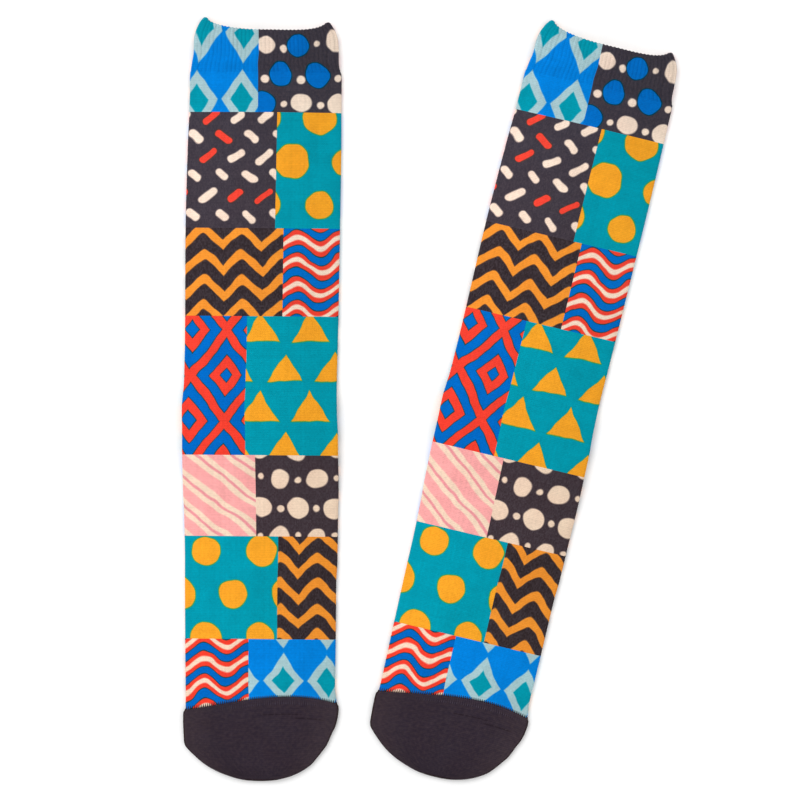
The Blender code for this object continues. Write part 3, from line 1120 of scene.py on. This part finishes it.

# %% [markdown]
# ## Stitches
#
# Each stitch is a V: two legs that lean towards the middle of its wale.  A formula on the
# knit's map gives their height, which bends the light through a Bump node, and also
# paints shade into the dye, a little darker in the grooves between the legs.  No two wales
# or courses take exactly the same tone, and noise makes the yarn itself uneven.  The dye
# has taken in slow blotches, and the cloth is darker towards one flank.  Painted shade
# makes the cuff darker than the leg, and between its ribs lie painted shadows, some deeper
# than others.

# %% Stitches
LEG_RISE = 0.55  # the legs climb by this share of a course
GAP_DEPTH = 0.75
FLANK_TINT = (0.84, 0.86, 0.84, 1.0)
BLOTCH_TINT = (0.97, 0.91, 0.91, 1.0)
BLOTCH_SCALE = 62.0  # repeats in a metre, as for the two below
MOTTLE_SCALE = 150.0
FUZZ_SCALE = 900.0
EVENED = 1.12  # makes up for both tints and for the painted shade in the grooves
MOTTLING = 0.24
WALE_SHADES = 0.05
COURSE_SHADES = 0.04
# painted shade: the cuff grows darker from this row on
CUFF_SHADE_FROM = 350.0
CUFF_SHADE_LENGTH = 34.0
CUFF_SHADE_EASE = 0.4
CUFF_PAINTED_SHADE = 0.09
YARN_RELIEF = 0.25 * MM
FUZZ_RELIEF = 0.35  # as a share of the yarn's
ROUGHNESS_SPREAD = 0.12


def knit_place(tree):
    """u and v in millimetres of knit."""
    source = add_node(tree, "UVMap")
    source.uv_map = "knit"
    split = add_node(tree, "SeparateXYZ", Vector=source.outputs["UV"])
    return [Field(tree, split.outputs[axis]) * (1.0 / MM) for axis in ("X", "Y")]


def from_groove(u):
    """Millimetres from the nearest groove between two wales."""
    return abs(centred(u + WALE / 2, WALE))


def stitches(u, v):
    """Height of the yarn from 0 in the grooves to 1 on the legs of the stitches."""
    aside = from_groove(u) * (2.0 / WALE)
    leg = aside * aside.rest() * 4.0
    up = abs(centred(v + aside * (COURSE * LEG_RISE), COURSE)) * (2.0 / COURSE)
    gap = (up * up) * (up * up) * -GAP_DEPTH + 1.0
    return leg.op("SQRT") * gap


def fabric_noise(tree, scale, detail):
    """Unevenness through the cloth, so that it runs on over the folds."""
    place = add_node(tree, "TexCoord").outputs["Object"]
    return noise(tree, place, scale, detail)[0]


def uneven(field, spread):
    """A factor of about 1 that varies by this much from end to end."""
    return field * spread + (1.0 - spread / 2)


def flank_tinted(tree, u, colour):
    """Darker towards the right of the sock."""
    flank = (u * (math.tau / TUBE_ROUND)).op("SINE") * 0.5 + 0.5
    return blend(tree, flank, colour, FLANK_TINT, "MULTIPLY")


def blotched(tree, colour):
    """The yarn takes a dye in slow blotches."""
    blotches = fabric_noise(tree, BLOTCH_SCALE, 2.0).over(0.5, soft=0.5)
    return blend(tree, blotches, colour, BLOTCH_TINT, "MULTIPLY")


def rib_shade(u, v, depth):
    """Painted shade: the cuff darker than the leg, and darker by this depth in the valleys between
    its ribs.
    """
    rounded = (u * (math.tau / (2.0 * WALE))).op("COSINE") * 0.5 + 0.5
    rib = (u / (2.0 * WALE) + 0.5).floor()
    valley = rounded * rounded * v.over(CUFF_START - RIB_START / 2, soft=RIB_START)
    valley = valley * (chance(u.tree, rib) + 0.5)
    progress = (v - CUFF_SHADE_FROM) / CUFF_SHADE_LENGTH
    cuff_shade = progress.op("SMOOTH_MIN", 1.0, CUFF_SHADE_EASE).op("MAXIMUM", 0.0)
    return (valley * -depth + 1.0) * (cuff_shade * -CUFF_PAINTED_SHADE + 1.0)


def knit_material(name, colour_of, bump, groove, roughness, ribbed=0.0, fuzziness=0.32):
    """A knitted finish.  colour_of draws the dye from the tree and the place."""
    material, shader = add_finish(name)
    tree = material.node_tree
    u, v = knit_place(tree)
    height = stitches(u, v)
    mottle = fabric_noise(tree, MOTTLE_SCALE, 3.0)
    fuzz = fabric_noise(tree, FUZZ_SCALE, 2.0)
    wale_luck = chance(tree, (u / WALE).floor())
    course_luck = chance(tree, (v / COURSE).floor() * LEGS_IN_ROW)
    # painted shade: the dye is darker in the grooves between the stitches' legs; the wale, course
    # and noise factors are random unevenness of the yarn
    shade_and_unevenness = height * (groove * EVENED) + (1.0 - groove) * EVENED
    shade_and_unevenness = shade_and_unevenness * uneven(mottle, MOTTLING) * uneven(fuzz, fuzziness)
    shade_and_unevenness = shade_and_unevenness * uneven(wale_luck, WALE_SHADES) * uneven(course_luck, COURSE_SHADES)
    if ribbed:
        shade_and_unevenness = shade_and_unevenness * rib_shade(u, v, ribbed)
    grey = add_node(tree, "CombineColor", Red=shade_and_unevenness, Green=shade_and_unevenness, Blue=shade_and_unevenness).outputs["Color"]
    dyed = blotched(tree, colour_of(tree, u, v))
    relief = height + fuzz * FUZZ_RELIEF
    bumps = add_node(tree, "Bump", Strength=bump, Distance=YARN_RELIEF, Height=relief)
    finish = {
        "Base Color": blend(tree, 1.0, dyed, grey, "MULTIPLY"),
        "Normal": bumps.outputs["Normal"],
        "Roughness": mottle * ROUGHNESS_SPREAD + (roughness - ROUGHNESS_SPREAD / 2),
        "Specular IOR Level": 0.03,
        "Sheen Weight": 0.01,
        "Sheen Roughness": 0.5,
    }
    for entry, value in finish.items():
        feed(tree, shader.inputs[entry], value)
    return material


# the row at which the cuff's painted shade starts
print("the cuff is duller from row", CUFF_SHADE_FROM, "on")

# %% [markdown]
# ## Black yarn
#
# The heel is plain, with a line of small eyelets where its short rows turn.  The toe
# shows more.  Its yarn is mottled along the courses, and a painted sheen makes it paler
# near the folds; on the folds and at the tip it turns browner.  Below its edge the first
# rows are stretched, so their grooves show as painted shade, and a row of pale specks
# lies where the print's yarn shines through.  The linked seam is a dark, broken line.
# The last print yarn before the toe is crossed by thin, blunt black legs, one to a wale.

# %% Yarns of the toe, the heel and the inside
PALER = 1.12  # how far plain yarn grows paler, in slow clouds
CLOUD_SCALE = 20.0
PALE_COURSES = 0.36
PAINTED_FOLD_SHEEN = 0.3
STRETCHED = (-22.0, 37.0)  # from u, to u
FIRST_ROWS = 0.35  # how clearly the stretched rows show, and how much more the specks
SPECKS = 0.45
SPECKS_BELOW = 3.1
SPECK_HALF_HEIGHT = 0.3
SPECK_STRENGTH = 0.6
LINK_LINES = (
    # from u, to u, below the toe's edge
    (1.0, 21.0, 7.9),
    (18.0, 34.0, 9.6),
)
LINK_HALF_LINE = 0.35
LINK_STRENGTH = 0.7
LEG_LENGTH = 1.6
LEG_HALF_WIDTH = 0.34
MITRE_START = 38.5  # where the line of eyelets leaves the heel's corner
MITRE_SLOPE = 0.72
MITRE_PITCH = 2.1
EYELET = 0.5


def plain(colour):
    """One yarn all over, with slow clouds in it."""
    def colour_of(tree, u, v):
        paler = tuple(channel * PALER for channel in colour[:3]) + (1.0,)
        return blend(tree, fabric_noise(tree, CLOUD_SCALE, 2.0), colour, paler)

    return colour_of


def toe_yarn(tree, u, v):
    round_u = centred(u + TUBE_ROUND / 2, TUBE_ROUND)
    from_fold = abs(abs(round_u) - TUBE_ROUND / 4)
    courses, _ = noise(tree, vector(tree, u * 0.45, v * 0.7, 0.0), 1.0, 3.0)
    # painted sheen: the toe is paler near its folds, on top of the paler courses
    near_fold = from_fold.under(9.0, soft=22.0)
    paler = courses.over(0.56, soft=0.4) * PALE_COURSES + near_fold * PAINTED_FOLD_SHEEN
    colour = blend(tree, paler, BLACK_YARN, PALER_BLACK_AND_SHEEN)
    # browner along the folds and at the tip
    rim = from_fold.under(1.3, soft=1.2).op("MAXIMUM", v.under(1.0, soft=1.2))
    colour = blend(tree, rim, colour, BROWN_EDGE)

    ridge = from_groove(u).over(WALE / 4, soft=0.2)
    broken, _ = noise(tree, vector(tree, u * 0.5, v * 0.8, 0.0), 1.0, 1.0)
    stretched = broken.over(0.45, soft=0.3) * between(round_u, *STRETCHED, 12.0)
    low = TOE_SEAM - SPECKS_BELOW - SPECK_HALF_HEIGHT
    first_rows = between(v, low, TOE_SEAM, 0.4)
    specks = between(v, low, low + 2.0 * SPECK_HALF_HEIGHT, 0.2)
    shown = (first_rows * FIRST_ROWS + specks * SPECKS) * stretched
    colour = blend(tree, shown * ridge * SPECK_STRENGTH, colour, SPECK)
    # painted shade in the grooves of the stretched first rows
    colour = blend(tree, shown * ridge.rest(), colour, LINK_YARN_AND_GAP_SHADE)

    for start, end, below in LINK_LINES:
        line = abs(v - (TOE_SEAM - below)).under(LINK_HALF_LINE, soft=0.5)
        line = line * between(round_u, start, end, 4.0)
        threads = broken.over(0.46, soft=0.14) * LINK_STRENGTH
        colour = blend(tree, line * threads, colour, LINK_YARN_AND_GAP_SHADE)
    return colour


def heel_yarn(tree, u, v):
    colour = plain(BLACK_YARN)(tree, u, v)
    along = v - HEEL_BASE
    off_mitre = abs(abs(u) + along * MITRE_SLOPE - MITRE_START)
    eyelet = distance(off_mitre, centred(along, MITRE_PITCH)).under(EYELET, soft=0.3)
    return blend(tree, eyelet, colour, LINK_YARN_AND_GAP_SHADE)


def print_yarn(tree, u, v):
    colour = flank_tinted(tree, u, patchwork(tree, u, v))
    aside = from_groove(u) / LEG_HALF_WIDTH
    blunt = (aside * aside) * (aside * aside)
    legs = (v - TOE_SEAM + blunt * LEG_LENGTH).under(LEG_LENGTH, soft=0.3)
    return blend(tree, legs, colour, BLACK_YARN)


# for each: the bump's strength, the depth of the grooves' painted shade and the roughness; the
# print also takes a painted shadow of this depth between the cuff's ribs
printed_knit = knit_material("printed_knit", print_yarn, 0.6, 0.3, 0.84, ribbed=0.13)
toe_knit = knit_material("black_toe_knit", toe_yarn, 0.7, 0.4, 0.88, fuzziness=0.2)
black_knit = knit_material("black_knit", heel_yarn, 0.9, 0.55, 0.88)
white_inside = knit_material("white_inside", plain(WHITE_YARN), 0.6, 0.25, 0.9)
print("nodes in the print:", len(printed_knit.node_tree.nodes))

# %% [markdown]
# ## Dress the pieces
#
# The outside of each shell takes its dye, and the inside shows the undyed yarn of the
# print, or the same black yarn in the toe.

# %% Materials on the pieces
for sock in LAY:
    tubes[sock].data.materials.append(printed_knit)
    tubes[sock].data.materials.append(white_inside)
    toes[sock].data.materials.append(toe_knit)
    toes[sock].data.materials.append(black_knit)
    heels[sock].data.materials.append(black_knit)
print("finishes, with the table's:", len(bpy.data.materials))

# %% [markdown]
# ## Hide the solids and attach the shells
#
# The shells stand for the solids, which keep carrying the weight but are hidden.  Each
# shell is a sheet of cloth, and each is attached to the root body.

# %% Hide the solids and attach the shells
for sock in LAY:
    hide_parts(f"{sock}_cuff", f"{sock}_body")
    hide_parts(f"{sock}_toe")
    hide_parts(f"{sock}_heel")
    for piece in (tubes[sock], toes[sock], heels[sock]):
        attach(piece, "root")
